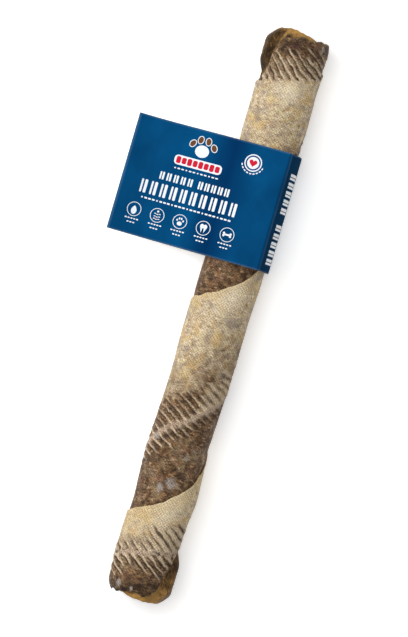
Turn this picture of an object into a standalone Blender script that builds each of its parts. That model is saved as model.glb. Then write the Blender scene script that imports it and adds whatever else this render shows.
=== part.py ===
"""Rolled fish-skin chew stick with a folded card label looped round it.

The stick lies along Y on the back panel of its label. Seen from above, the label's
flag points towards -X, its spine is on the +X side, and Z = 0 is the surface it lies on.
The label slides along the stick and comes off over the +Y end. Lengths are in metres.
"""
import math

import bmesh
import bpy
from mathutils import Vector
from mathutils.geometry import interpolate_bezier

# Stick
STICK_LENGTH = 0.400
SKIN = 0.0008                 # thickness of a wrapping skin
GAP = 0.0003                  # air between neighbouring layers
LAYER = SKIN + GAP
WRAP_BORE = 0.0195            # radius inside the wrapping skins
LAP = 0.018                   # how far a wrap reaches under the next one
STEP = 11.25                  # degrees of arc between neighbouring columns of a sheet

# Angles round the stick, in degrees from straight up towards +X
SEAM = -140.0                 # where every wrap and the liner start
FLAP = 2 * STEP               # how far their ends lie over their starts
FLAP_LIFT = 35.0              # arc over which a flap climbs onto its own start

# Upper edges of the lapping wraps: height straight up, climb in one turn, bow at the sides
UPPER_EDGE = (0.1665, 0.032, 0.0)
MIDDLE_EDGE = (0.0194, 0.0928, 0.0098)
BOTTOM_EDGE = (-0.1300, 0.0928, 0.0098)

# Ragged ends of the stick
RIM = 0.1955                  # height of the outermost skins' rims
RIM_NOTCH = 0.040             # depth of the notch that shows the liner
LINER_FLARE = 0.0042          # how far the liner bulges in a notch
TOP_BULGE = (-117, -88, -60, -22)
BOTTOM_BULGE = (22, 60, 110, 150)
LINER_CURL = 0.0045           # how far its bulging lip curls back in
LINER_BORE = 0.0173
LINER_SKIN = 0.00085

# Core skins, from the outside in: inner radius, turns, start angle, half length
CORE_SKIN = 0.0009
CORE_PITCH = 0.0016
CORES = (
    (0.0133, 1.75, 20.0, 0.1930),
    (0.0093, 1.75, 150.0, 0.1945),
    (0.0053, 1.75, -80.0, 0.1925),
    (0.0021, 1.25, 60.0, 0.1940),
)

# Label card
CARD = 0.0005
LABEL_HEIGHT = 0.0812
LABEL_CENTRE = 0.0770
FLAG_REACH = 0.0902           # from the stick's axis to the flag's edge
SPINE_REACH = 0.0232          # from the stick's axis to the lower fold
UPPER_FOLD = (0.0168, 0.0315)  # from the stick's axis, across and up
SPINE_BOW = 0.0018
GLUED_WIDTH = 0.0085
STRIP = (0.0060, 0.0002)      # width and thickness of the adhesive strip
STRIP_GAP = 0.00015

# Place of the stick's axis: the whole object is centred on X = 0
AXIS_X = (FLAG_REACH - SPINE_REACH) / 2
AXIS_Z = CARD + 0.0006 + WRAP_BORE + LAYER + SKIN


def clear_scene():
    for item in list(bpy.data.objects):
        bpy.data.objects.remove(item, do_unlink=True)


def make_material(name, colour, roughness):
    material = bpy.data.materials.new(name)
    material.use_nodes = True
    shader = material.node_tree.nodes["Principled BSDF"]
    shader.inputs["Base Color"].default_value = (*colour, 1.0)
    shader.inputs["Roughness"].default_value = roughness
    return material


def ramp(value, start, end):
    """Smooth rise from 0 at start to 1 at end."""
    part = min(max((value - start) / (end - start), 0.0), 1.0)
    return part * part * (3 - 2 * part)


def on_stick(angle, height, radius):
    turn = math.radians(angle)
    return Vector((AXIS_X + radius * math.sin(turn), height, AXIS_Z + radius * math.cos(turn)))


def add_thickness(item, thickness, offset):
    solidify = item.modifiers.new("Thickness", "SOLIDIFY")
    solidify.thickness = thickness
    solidify.offset = offset
    solidify.use_even_offset = True


def link_mesh(name, bm, material):
    mesh = bpy.data.meshes.new(name)
    bm.to_mesh(mesh)
    bm.free()
    mesh.shade_smooth()
    mesh.materials.append(material)
    item = bpy.data.objects.new(name, mesh)
    bpy.context.collection.objects.link(item)
    return item


def rolled_sheet(name, columns, rows, place, thickness, material):
    """A sheet of columns x rows faces. place(across, along) gives each point of its
    inner face from two numbers between 0 and 1; the thickness goes outwards."""
    bm = bmesh.new()
    bmesh.ops.create_grid(bm, x_segments=columns, y_segments=rows, size=1.0)
    for vertex in bm.verts:
        vertex.co = place((vertex.co.x + 1) / 2, (vertex.co.y + 1) / 2)
    item = link_mesh(name, bm, material)
    item.data.set_sharp_from_angle(angle=math.radians(40))
    add_thickness(item, thickness, 1.0)
    return item


# ---- wrapping skins

def edge_height(edge, angle):
    centre, climb, bow = edge
    return centre + climb * angle / 360 + bow * (1 - math.cos(math.radians(angle)))


def top_rim(angle):
    notch = ramp(-angle, 15, 85)
    return RIM - RIM_NOTCH * notch - 0.2 * RIM_NOTCH * ramp(angle, 150, 240)


def bottom_rim(angle):
    notch = ramp(angle, 15, 85) * (1 - ramp(angle, 115, 165))
    return -RIM + RIM_NOTCH * notch


def lap_lift(depth):
    """How far the sheet rides up, in layers, at a depth below its upper edge."""
    return ramp(depth, -0.030, -0.012) * (1 - ramp(depth, 0.025, 0.055))


def flap_lift(angle):
    return ramp(angle, SEAM + 360 - FLAP_LIFT, SEAM + 360)


def wrap_lift(upper_edge, angle, height):
    """Layers between this wrap and the bore, over its neighbour and its own start."""
    flap = flap_lift(angle)
    if upper_edge is None:
        return flap
    depth = edge_height(upper_edge, angle) - height
    depth_one_turn_back = edge_height(upper_edge, angle - 360) - height
    return flap + max(lap_lift(depth), flap * lap_lift(depth_one_turn_back))


def make_wrap(name, upper_edge, lower_edge, rows, material):
    """A skin rolled once round the stick. An edge of None is one of the stick's rims."""

    def place(across, along):
        angle = SEAM + (360 + FLAP) * across
        upper = top_rim(angle) if upper_edge is None else edge_height(upper_edge, angle)
        if lower_edge is None:
            lower = bottom_rim(angle)
        else:
            rounded_corner = (LAP + 0.004) * ramp(angle, SEAM + 360 - FLAP_LIFT, SEAM + 358)
            lower = edge_height(lower_edge, angle) - LAP + rounded_corner
        height = lower + (upper - lower) * along
        radius = WRAP_BORE + LAYER * wrap_lift(upper_edge, angle, height)
        return on_stick(angle, height, radius)

    columns = round((360 + FLAP) / STEP)
    return rolled_sheet(name, columns, rows, place, SKIN, material)


def make_wraps():
    dark = make_material("dark_skin", (0.135, 0.082, 0.045), 0.55)
    pale = make_material("pale_skin", (0.48, 0.37, 0.24), 0.5)
    make_wrap("wrap_skin_top", None, UPPER_EDGE, 5, dark)
    make_wrap("wrap_skin_upper", UPPER_EDGE, MIDDLE_EDGE, 9, pale)
    make_wrap("wrap_skin_middle", MIDDLE_EDGE, BOTTOM_EDGE, 9, pale)
    make_wrap("wrap_skin_bottom", BOTTOM_EDGE, None, 6, pale)


# ---- liner skin

def flare(angle, height, reach, covered_to):
    """Bulge of the liner where a notch in the wrap above it leaves it free. reach is the
    four angles where the bulge starts, is full, starts to fade and ends."""
    width = ramp(angle, reach[0], reach[1]) * (1 - ramp(angle, reach[2], reach[3]))
    rise = ramp(height, covered_to + 0.002, covered_to + 0.022)
    curl = ramp(height, STICK_LENGTH / 2 - 0.013, STICK_LENGTH / 2 + 0.003)
    return width * (LINER_FLARE * rise - LINER_CURL * curl)


def liner_flare(angle, height):
    """The liner bulges only clear of the wraps' rims, also between its own columns."""
    near = (angle - STEP, angle, angle + STEP)
    top_cover = max(max(top_rim(a), edge_height(UPPER_EDGE, a)) for a in near)
    bottom_cover = max(-bottom_rim(a) for a in near)
    bulge = flare(angle, height, TOP_BULGE, top_cover)
    return bulge + flare(angle, -height, BOTTOM_BULGE, bottom_cover)


def liner_end(angle):
    """Height of the liner's ragged rim, highest just left of straight up."""
    return STICK_LENGTH / 2 - 0.004 * (1 - math.cos(math.radians(angle + 28)))


def place_along(bottom, top, along):
    """Height at a share of the way up, with the rows drawn together at both ends."""
    crowded = along - 0.145 * math.sin(2 * math.pi * along)
    return bottom + (top - bottom) * crowded


def make_liner():
    def place(across, along):
        angle = SEAM + (360 + FLAP) * across
        height = place_along(-liner_end(-angle), liner_end(angle), along)
        radius = LINER_BORE + LAYER * (angle - SEAM) / 360 + liner_flare(angle, height)
        return on_stick(angle, height, radius)

    golden = make_material("golden_skin", (0.36, 0.20, 0.07), 0.45)
    columns = round((360 + FLAP) / STEP)
    rolled_sheet("liner_skin", columns, 16, place, LINER_SKIN, golden)


# ---- core skins

def make_core(number, bore, turns, start, half_length, material):
    def place(across, along):
        turned = turns * across
        ragged = 0.002 * math.cos(math.radians(start) + math.tau * turned * 1.4)
        height = (2 * along - 1) * (half_length + ragged)
        return on_stick(start + 360 * turned, height, bore + CORE_PITCH * turned)

    columns_per_turn = round(12 + 800 * bore)
    rolled_sheet(f"core_skin_{number}", round(turns * columns_per_turn), 2, place, CORE_SKIN, material)


def make_cores():
    brown = make_material("core_skin", (0.25, 0.15, 0.07), 0.6)
    for number, (bore, turns, start, half_length) in enumerate(CORES, start=1):
        make_core(number, bore, turns, start, half_length, brown)


# ---- label

def label_path():
    """Inner face of the folded card across the stick, from the back panel's free edge
    round the spine to the front panel's free edge. Points are across and up."""
    floor = CARD
    glue_height = CARD + 2 * STRIP_GAP + STRIP[1]
    lower_fold = Vector((SPINE_REACH, floor - AXIS_Z))
    upper_fold = Vector(UPPER_FOLD)
    glued = Vector((GLUED_WIDTH - FLAG_REACH, glue_height - AXIS_Z))
    shoulder = Vector((-0.0250, 0.0114))
    path = [Vector((-FLAG_REACH, floor - AXIS_Z)), lower_fold]
    spine = upper_fold - lower_fold
    outward = Vector((spine.y, -spine.x)).normalized()
    for share in (0.17, 0.33, 0.5, 0.67, 0.83):
        path.append(lower_fold + spine * share + outward * SPINE_BOW * 4 * share * (1 - share))
    down_17 = Vector((-math.cos(math.radians(17)), -math.sin(math.radians(17))))
    down_35 = Vector((-math.cos(math.radians(35)), -math.sin(math.radians(35))))
    over_stick = (upper_fold, upper_fold + 0.014 * down_17, shoulder - 0.014 * down_35, shoulder)
    over_flag = (shoulder, shoulder + 0.024 * down_35, glued + Vector((0.018, 0)), glued)
    for knots in (over_stick, over_flag):
        path.extend(point.to_2d() for point in interpolate_bezier(*knots, 8)[:-1])
    path.extend((glued, Vector((-FLAG_REACH, glued.y))))
    return path


def make_label():
    printed_blue = make_material("printed_card", (0.004, 0.075, 0.22), 0.35)
    low = LABEL_CENTRE - LABEL_HEIGHT / 2
    bm = bmesh.new()
    row = [bm.verts.new((AXIS_X + point.x, low, AXIS_Z + point.y)) for point in label_path()]
    edges = [bm.edges.new(pair) for pair in zip(row, row[1:])]
    extruded = bmesh.ops.extrude_edge_only(bm, edges=edges)["geom"]
    raised = [part for part in extruded if isinstance(part, bmesh.types.BMVert)]
    bmesh.ops.translate(bm, verts=raised, vec=(0, LABEL_HEIGHT, 0))
    card = link_mesh("label_card", bm, printed_blue)
    card.data.set_sharp_from_angle(angle=math.radians(25))
    add_thickness(card, CARD, 1.0)


def make_adhesive_strip():
    tape = make_material("adhesive", (0.75, 0.72, 0.62), 0.6)
    width, thickness = STRIP
    bm = bmesh.new()
    bmesh.ops.create_cube(bm, size=1.0)
    bmesh.ops.scale(bm, verts=bm.verts, vec=(width, LABEL_HEIGHT - 0.006, thickness))
    item = link_mesh("adhesive_strip", bm, tape)
    item.data.shade_flat()
    across = AXIS_X - FLAG_REACH + GLUED_WIDTH / 2
    item.location = (across, LABEL_CENTRE, CARD + STRIP_GAP + thickness / 2)


def main():
    clear_scene()
    make_wraps()
    make_liner()
    make_cores()
    make_label()
    make_adhesive_strip()


main()
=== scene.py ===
"""Looks of the rolled fish-skin chew stick and its folded card label.

Shapes are worked out in millimetres round the stick's axis and turned into metres when a
mesh is made. Angles round the stick are in degrees from straight up towards +X, an arc is the
same place in millimetres round the roll, and a depth is measured down from a wrap's upper edge.
"""
import math

import bmesh
import bpy
import numpy as np
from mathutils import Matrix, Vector
from mathutils.geometry import interpolate_bezier


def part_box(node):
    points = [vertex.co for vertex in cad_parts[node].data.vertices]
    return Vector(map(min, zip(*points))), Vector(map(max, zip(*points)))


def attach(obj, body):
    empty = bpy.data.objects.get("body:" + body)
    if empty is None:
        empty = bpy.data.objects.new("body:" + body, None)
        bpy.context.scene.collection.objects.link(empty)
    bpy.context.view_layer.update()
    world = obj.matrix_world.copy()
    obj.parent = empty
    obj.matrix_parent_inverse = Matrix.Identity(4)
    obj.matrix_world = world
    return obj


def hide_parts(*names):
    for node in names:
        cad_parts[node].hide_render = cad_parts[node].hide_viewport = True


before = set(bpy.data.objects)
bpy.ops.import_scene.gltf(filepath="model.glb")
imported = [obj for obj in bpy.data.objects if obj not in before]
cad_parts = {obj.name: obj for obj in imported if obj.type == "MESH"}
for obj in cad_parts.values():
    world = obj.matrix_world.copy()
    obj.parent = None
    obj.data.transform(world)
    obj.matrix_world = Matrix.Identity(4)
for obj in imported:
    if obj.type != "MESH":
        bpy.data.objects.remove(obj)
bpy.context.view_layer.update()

MM = 0.001

# Places taken from the frame, in millimetres
LABEL_LOW, LABEL_HIGH = (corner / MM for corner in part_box("label_card"))
STRIP_LOW, STRIP_HIGH = (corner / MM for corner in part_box("adhesive_strip"))
STICK_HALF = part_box("liner_skin")[1].y / MM

# The rolled skins: thickness, rise over another layer, bores and the radius arcs are taken at
SKIN = 0.8
LAYER = 1.1
WRAP_BORE = 19.5
LINER_BORE = 17.3
LINER_SKIN = 0.85
CORE_PITCH = 1.6            # how far a core's spiral widens in one turn
CORE_FACES = (-0.08, 1.08)  # its inner and outer face, from the spiral
MEAN_RADIUS = 21.0
LAP = 18.0          # how far a wrap reaches under its lower neighbour
SEAM = -140.0       # angle at which each skin starts
FLAP = 22.5         # angle by which it passes its own start
FLAP_LIFT = 35.0    # angle over which it climbs onto itself

# The card, seen from the stick's axis
CARD = 0.5
CARD_PLAY = 0.6
SPINE_REACH = 23.2
FLAG_REACH = -2 * LABEL_LOW.x - SPINE_REACH
AXIS_X = (FLAG_REACH - SPINE_REACH) / 2
AXIS_Z = CARD + CARD_PLAY + WRAP_BORE + LAYER + SKIN

# Edges of the wraps: height straight up, climb in one turn, bow at the sides
UPPER_EDGE = (166.5, 32.0, 0.0)
MIDDLE_EDGE = (19.4, 92.8, 9.8)
BOTTOM_EDGE = (-130.0, 92.8, 9.8)
RIM = 195.5         # height of the wraps' two rims, above and below the middle
RIM_NOTCH = 40.0    # depth of the notch torn in the lower one


# ---- numbers and noise

def ramp(value, start, end):
    """Smooth rise from 0 at start to 1 at end."""
    part = np.clip((np.asarray(value, float) - start) / (end - start), 0.0, 1.0)
    return part * part * (3 - 2 * part)


def fall(value, start, end):
    """Smooth drop from 1 at start to 0 at end."""
    return 1 - ramp(value, start, end)


def bump(value, middle, width):
    """Smooth hill, 1 at the middle."""
    return np.exp(-((np.asarray(value, float) - middle) / width) ** 2)


def noise(x, y, size, seed):
    """Smooth random values between -1 and 1. They change over a distance of size, which is
    one number or one for x and one for y."""
    table = np.random.default_rng(seed).uniform(-1, 1, (256, 256))
    size_x, size_y = np.broadcast_to(size, 2)
    x, y = x / size_x, y / size_y
    column, row = np.floor(x).astype(int), np.floor(y).astype(int)
    across, along = x - column, y - row
    across = across * across * (3 - 2 * across)
    along = along * along * (3 - 2 * along)

    def mixed(row):
        left, right = table[column & 255, row & 255], table[(column + 1) & 255, row & 255]
        return left * (1 - across) + right * across

    return mixed(row) * (1 - along) + mixed(row + 1) * along


def fine_noise(x, y, size, seed, octaves=4):
    """Smooth noise with more added to it, each time half as large and half as strong."""
    total = value = 0.0
    for octave in range(octaves):
        weight = 0.5 ** octave
        value += weight * noise(x, y, np.multiply(size, weight), seed + octave)
        total += weight
    return value / total


def random_by_index(index, seed):
    """One random value between 0 and 1 for each whole number."""
    table = np.random.default_rng(seed).uniform(0, 1, 512)
    return table[np.asarray(index, int) % 512]


# ---- mesh making

BACK_STEP = 3    # the hidden side of a sheet keeps every third point


def grid_faces(rows, columns, first=0, flip=False):
    """The four-cornered faces of a grid of points, numbered from first."""
    corner = first + np.arange(rows - 1)[:, None] * columns + np.arange(columns - 1)[None, :]
    faces = np.stack([corner, corner + 1, corner + columns + 1, corner + columns], -1).reshape(-1, 4)
    return faces[:, ::-1] if flip else faces


def border(rows, columns):
    """The numbers of a grid's outer points, once round it."""
    bottom, right = np.arange(columns), np.arange(rows) * columns + columns - 1
    top, left = (rows - 1) * columns + np.arange(columns)[::-1], np.arange(rows)[::-1] * columns
    return np.concatenate([side[:-1] for side in (bottom, right, top, left)])


def rim_faces(rows, columns):
    """Faces that join the border of a fine grid to that of the coarser grid behind it."""
    fine = border(rows, columns)
    coarse = border((rows - 1) // BACK_STEP + 1, (columns - 1) // BACK_STEP + 1) + rows * columns
    fine = np.append(fine, fine[0])
    coarse = np.append(coarse, coarse[0])
    faces = []
    for number in range(len(coarse) - 1):
        front = fine[number * BACK_STEP:(number + 1) * BACK_STEP + 1]
        faces.append([*front[::-1], coarse[number], coarse[number + 1]])
    return np.array(faces)


def make_mesh(name, points, groups):
    """A mesh from points in millimetres and groups of (faces, material number)."""
    mesh = bpy.data.meshes.new(name)
    mesh.vertices.add(len(points))
    mesh.vertices.foreach_set("co", (points * MM).astype(np.float32).ravel())
    corners = np.concatenate([faces.ravel() for faces, _ in groups])
    sizes = np.concatenate([np.full(len(faces), faces.shape[1]) for faces, _ in groups])
    numbers = np.concatenate([np.full(len(faces), number) for faces, number in groups])
    mesh.loops.add(len(corners))
    mesh.loops.foreach_set("vertex_index", corners.astype(np.int32))
    mesh.polygons.add(len(sizes))
    mesh.polygons.foreach_set("loop_start", (np.cumsum(sizes) - sizes).astype(np.int32))
    mesh.polygons.foreach_set("material_index", numbers.astype(np.int32))
    mesh.update(calc_edges=True)
    mesh.validate()
    return mesh


def make_sheet(name, front, back, materials, values=None, sides=(0, 0, 0)):
    """A closed sheet between two grids of points, each rows x columns x 3. The front faces
    the way columns x rows turns. The back keeps every third point, so both counts are one
    more than a multiple of three. values are named grids of numbers kept at the points, and
    sides are the material numbers of the front, back and rim."""
    rows, columns = front.shape[:2]
    coarse = back[::BACK_STEP, ::BACK_STEP]
    points = np.concatenate([front.reshape(-1, 3), coarse.reshape(-1, 3)])
    groups = (
        (grid_faces(rows, columns), sides[0]),
        (grid_faces(*coarse.shape[:2], first=rows * columns, flip=True), sides[1]),
        (rim_faces(rows, columns), sides[2]),
    )
    mesh = make_mesh(name, points, groups)
    for key, grid in (values or {}).items():
        size = 3 if grid.ndim == 3 else 1
        thin = grid[::BACK_STEP, ::BACK_STEP]
        keep_values(mesh, key, np.concatenate([grid.reshape(-1, size), thin.reshape(-1, size)]))
    mesh.shade_smooth()
    item = bpy.data.objects.new(name, mesh)
    bpy.context.scene.collection.objects.link(item)
    for material in materials:
        mesh.materials.append(material)
    return item


def keep_values(mesh, key, grid):
    """Stores one number or one vector for each point of the mesh."""
    kind, field = ("FLOAT_VECTOR", "vector") if grid.shape[1] == 3 else ("FLOAT", "value")
    attribute = mesh.attributes.new(key, kind, "POINT")
    attribute.data.foreach_set(field, grid.astype(np.float32).ravel())


def whole_thirds(values):
    """The same span of rising values, with a count that is one more than a multiple of three."""
    count = len(values) + (1 - len(values)) % BACK_STEP
    return np.interp(np.linspace(0, len(values) - 1, count), np.arange(len(values)), values)


# ---- shape of the stick

def axis_shift(height):
    """Sideways wander of the stick's axis."""
    wander = 0.6 * bump(height, -27, 28) - 0.9 * bump(height, -94, 20) + 0.5 * bump(height, -128, 12)
    return wander - 0.3 * bump(height, 172, 20) + 0.2 * bump(height, 128, 16)


def girth(angle, height):
    """How much fatter or thinner the roll is at a place than its layers make it."""
    right = 0.5 + 0.5 * np.sin(np.radians(angle))
    fat = 0.012 * bump(height, 184, 12) + 0.012 * bump(height, -115, 14)
    fat -= 0.014 * bump(height, -142, 12)
    waist = 0.040 * bump(height, 158, 18) * (0.35 + 0.65 * right)
    waist += 0.030 * bump(height, -180, 22) * (1 - right)
    rounded = 0.12 * ramp(np.abs(height), 187, 200) ** 1.5
    rounded *= 1 + 0.9 * ramp(1 - right, 0.6, 1) * ramp(-height, 0, 1)
    lumpy = 0.006 * np.sin(height / 19 + np.radians(angle))
    lumpy += 0.008 * noise(height, angle, (9, 60), 31)
    return 1 + fat - waist - rounded + lumpy


def on_stick(angle, height, radius):
    """Points round the stick, bent with it, in the frame's millimetres."""
    turn = np.radians(angle)
    radius = radius * girth(angle, height)
    across = AXIS_X + axis_shift(height) + radius * np.sin(turn)
    return np.stack([across, height, AXIS_Z + radius * np.cos(turn)], -1)


def edge_height(edge, angle):
    """Height at which a wrap's upper edge crosses an angle."""
    centre, climb, bow = edge
    return centre + climb * angle / 360 + bow * (1 - np.cos(np.radians(angle)))


def top_rim(angle):
    """Upper rim of the top wrap, torn away at the left down to the liner."""
    torn = 4 * ramp(-angle, 0, 35) + 6 * ramp(-angle, 30, 48) + 20 * ramp(-angle, 46, 57)
    torn += 9 * ramp(-angle, 56, 84) + 8 * ramp(angle, 150, 240) + 1.7 * bump(angle, 12, 24)
    ragged = 0.6 * np.sin(np.radians(angle) * 9 + 0.6) + 0.4 * np.sin(np.radians(angle) * 17)
    return RIM - torn + ragged * ramp(torn, -4, 4)


def bottom_rim(angle):
    """Lower rim of the bottom wrap, torn away at the right up to the liner."""
    notch = ramp(angle, 12, 85) ** 1.9 * fall(angle, 115, 165)
    ragged = 0.35 * np.sin(np.radians(angle) * 7 + 2.2) + 0.3 * np.sin(np.radians(angle) * 15)
    return -RIM + 1.6 + RIM_NOTCH * notch + ragged + 0.02 * angle * fall(angle, 20, 60)


def lap_lift(depth):
    """Share of a layer by which a wrap rises over its upper neighbour's end and sinks again."""
    return ramp(depth, -30, -12) * fall(depth, 25, 55)


def wrap_lift(upper_edge, angle, height):
    """Layers between this wrap and the bore, over its neighbour and its own start."""
    flap = ramp(angle, SEAM + 360 - FLAP_LIFT, SEAM + 360)
    if upper_edge is None:
        return flap
    depth = edge_height(upper_edge, angle) - height
    depth_one_turn_back = edge_height(upper_edge, angle - 360) - height
    return flap + np.maximum(lap_lift(depth), flap * lap_lift(depth_one_turn_back))


# ---- fin marks

def seen_across(arc):
    """Distance across the roll as it looks from above, running on evenly down its sides."""
    side = 1.1    # radians from the top
    angle = arc / MEAN_RADIUS
    upper = np.clip(angle, -side, side)
    return MEAN_RADIUS * (np.sin(upper) + (angle - upper) * math.cos(side))


def fin_marks(arc, height, lift, slant, spacing, reach, width, seed, thorn=0.13):
    """Raised fin roots on both sides of a midline: (crest, shaded gap, body), each 0 to 1, where
    the shaded gap is a groove below each crest whose dark colour is painted shade.
    lift is the height above the midline, slant how steeply the roots fall to the right,
    reach their lengths above and below, width their half width against the spacing, and
    thorn how much wider they are at the midline."""
    tilt = np.radians(slant)
    wander = 0.6 * noise(arc, height, 9, seed)
    wander += 0.34 * noise(arc, height, 3, seed + 7)
    wander += 0.16 * noise(arc, height, 1.2, seed + 8)
    position = (seen_across(arc) * np.sin(tilt) + height * np.cos(tilt) + wander) / spacing
    position += 0.45 * ramp(-lift, -0.6, 0.6)
    index = np.floor(position)
    share = position - index
    reach_above = reach[0] * (0.7 + 0.5 * random_by_index(index, seed + 1))
    reach_below = reach[1] * (0.6 + 0.6 * random_by_index(index, seed + 2))
    body = ramp(lift, 0.4, 2.2) * fall(lift, reach_above - 4, reach_above)
    body += ramp(-lift, 0.4, 2.2) * fall(-lift, reach_below - 4, reach_below)
    body = np.clip(body, 0, 1)
    uneven = 0.85 + 0.55 * noise(arc, height, 3, seed + 4)
    strength = np.clip(body * (0.62 + 0.68 * random_by_index(index * 3, seed + 3)) * uneven, 0, 1)
    half = width * (0.75 + 0.5 * random_by_index(index, seed + 5))
    half += thorn * np.exp(-np.abs(lift) / 3.2)
    crest = strength * fall(np.abs(share - 0.5), half * 0.65, half * 1.25)
    out = np.abs(lift) / np.where(lift > 0, reach_above, reach_below)
    lens = np.sin(np.pi * np.clip(out, 0, 1)) ** 0.6
    # Shaded gap: a groove just below each crest, which the material paints near black as painted
    # shade.
    below_crest = np.abs((share - 0.5 + half + 0.11 + 0.5) % 1 - 0.5)
    uneven_gap = 0.85 + 0.5 * noise(arc, height, 4, seed + 6)
    room = 0.06 + 0.25 * np.maximum(width - 0.13, 0)
    shaded_gap = np.clip(1.6 * body * lens * uneven_gap * fall(below_crest, room, room + 0.12), 0, 1)
    return crest, shaded_gap, body


def spots(arc, height, places):
    """Pale oval spots; each place is its arc, height and radius."""
    value = 0 * arc
    for number, (spot_arc, spot_height, radius) in enumerate(places):
        wobble = 1 + 0.35 * noise(arc, height, 1.2, 70 + number)
        distance = np.hypot(arc - spot_arc, (height - spot_height) * 0.9) * wobble
        value = np.maximum(value, fall(distance, radius * 0.45, radius))
    return value


def bright_edge(arc, depth):
    """Where a wrap's pale upper edge stretches over the roll and looks lightest."""
    return bump(arc, 6, 9) * fall(depth, 8, 26)


def skin_marks(tone, crest, shaded_gap, band, spot, lip):
    """The grids of numbers that a wrap's relief and material read: how dark the skin is, which in
    two wraps holds painted shade along the edge of the wrap below, the fin roots' crests and the
    grooves beside them, which are painted dark as painted shade, the midline, pale spots and
    the curled edge."""
    return {"tone": tone, "crest": crest, "shaded_gap": shaded_gap, "band": np.clip(band, 0, 1), "spot": spot,
            "lip": lip}


def middle_look(arc, height, depth, angle, seed):
    """Pale above, dark below, with a midline that climbs to the right and two large spots."""
    midline = -73.2 + 0.265 * angle + 1.6 * noise(arc, 0, 12, seed + 11)
    midline = np.where(np.abs(angle) > 100, edge_height(MIDDLE_EDGE, angle) - 94, midline)
    lift = height - midline
    right_side = ramp(arc, 3, 11) * ramp(lift, -2, 2)
    width = 0.12 + 0.18 * right_side
    slant = 31 - 4 * ramp(arc, 0, 10)
    crest, shaded_gap, body = fin_marks(arc, height + 65, lift, slant, 4.5, (27, 16), width, seed + 50)
    crest = crest * (1 - 0.55 * ramp(arc, 0, 12) * ramp(-lift, 0, 2)
                     - 0.40 * ramp(lift, 13, 20) * (1 - right_side))
    blotch = 12 * fine_noise(arc, height, 12, seed + 12)
    above = -lift + blotch
    tone = 0.66 * ramp(above, -66, -12) + 0.22 * ramp(above - 4 * ramp(arc, 0, 14), -6, 12)
    tone -= 0.12 * ramp(above, 34, 44)
    tone += 0.30 * body * (1 - crest) * (1 - 0.85 * right_side) - 0.42 * right_side * body
    # Painted shade: darker just above the edge of the bottom wrap, which lies over this one.
    tone += 0.22 * fall(height - edge_height(BOTTOM_EDGE, angle), 0, 9)
    tone += 0.22 * noise(arc, height, 7, seed + 14) * ramp(above, -60, -20)
    tone -= 0.42 * bright_edge(arc, depth)
    band = bump(lift, 0, 2.7) * (1.05 + 0.7 * noise(arc, height, 1.7, seed + 13))
    places = ((1.9, -116.5, 4.4), (-4.6, -121.2, 3.2), (8.2, -98.0, 2.0), (-17.5, -88.5, 3.0))
    return skin_marks(tone, crest, 0.72 * shaded_gap, band, spots(arc, height, places), fall(depth, 0, 8))


def top_marks(arc, height, angle):
    """Fin roots of the top wrap, whose feet run on over the edge of the wrap below."""
    lift = height - edge_height(UPPER_EDGE, angle) + 3.4
    slant = 46 - 5 * ramp(arc, -8, 0) - 6 * ramp(arc, 4, 12)
    return fin_marks(arc, height - 176, lift, slant, 4.0, (23, 0.5), 0.11, 850, 0.40)


def upper_look(arc, height, depth, angle, seed):
    """Pale above the label and dark below it, with the top wrap's fin roots at its upper edge."""
    above_middle = height - edge_height(MIDDLE_EDGE, angle)
    lift = above_middle - 60 + 1.6 * noise(arc, 0, 12, seed + 11)
    crest, shaded_gap, body = fin_marks(arc, height, lift, 40, 4.6, (20, 16), 0.13, seed + 50)
    blotch = 12 * fine_noise(arc, height, 12, seed + 12)
    tone = 0.42 * ramp(-lift + blotch, -34, -14) + 0.32 * ramp(-lift + blotch, 2, 24)
    # Its last term is painted shade: darker just above the edge of the middle wrap, which lies over
    # this one.
    tone += 0.30 * body * (1 - crest) + 0.22 * fall(above_middle, 0, 9)
    tone += 0.10 * ramp(depth + blotch, 18, 50)
    tone -= 0.5 * np.exp(-((arc - 3) / 8) ** 2 - ((height - 157) / 7) ** 2)
    foot_crest, foot_shaded_gap, foot_body = top_marks(arc, height, angle)
    crest = np.maximum(crest, foot_crest)
    shaded_gap = np.maximum(shaded_gap, foot_shaded_gap)
    tone += 0.85 * foot_body * (1 - foot_crest)
    band = bump(lift, 0, 2.1) * (0.6 + 0.6 * noise(arc, height, 3, seed + 13))
    return skin_marks(tone, crest, shaded_gap, band, 0 * arc, 0 * arc)


def top_look(arc, height, depth, angle, seed):
    """Dark skin that fin roots cross from its lower edge."""
    lift = height - edge_height(UPPER_EDGE, angle) + 0.5
    crest, shaded_gap, body = top_marks(arc, height, angle)
    blotch = 6 * fine_noise(arc, height, 8, seed + 12)
    tone = 0.28 + 0.30 * ramp(lift, 0, 6) + 0.74 * ramp(lift + blotch, 7, 22)
    tone += 0.25 * body * (1 - crest) * fall(lift, 5, 10)
    tone -= 0.30 * bump(arc, 14, 7) * ramp(height, 186, 192)
    spot = 0.8 * spots(arc, height, ((19.0, 191.0, 2.4), (17.8, 188.0, 1.5)))
    band = 0.2 + 0.45 * noise(arc, height, 2.5, seed + 13)
    lip = 0.25 * fall(depth, 0, 1.6)
    return skin_marks(tone, crest, shaded_gap, band * bump(lift, 1.5, 3.0), spot, lip)


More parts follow.
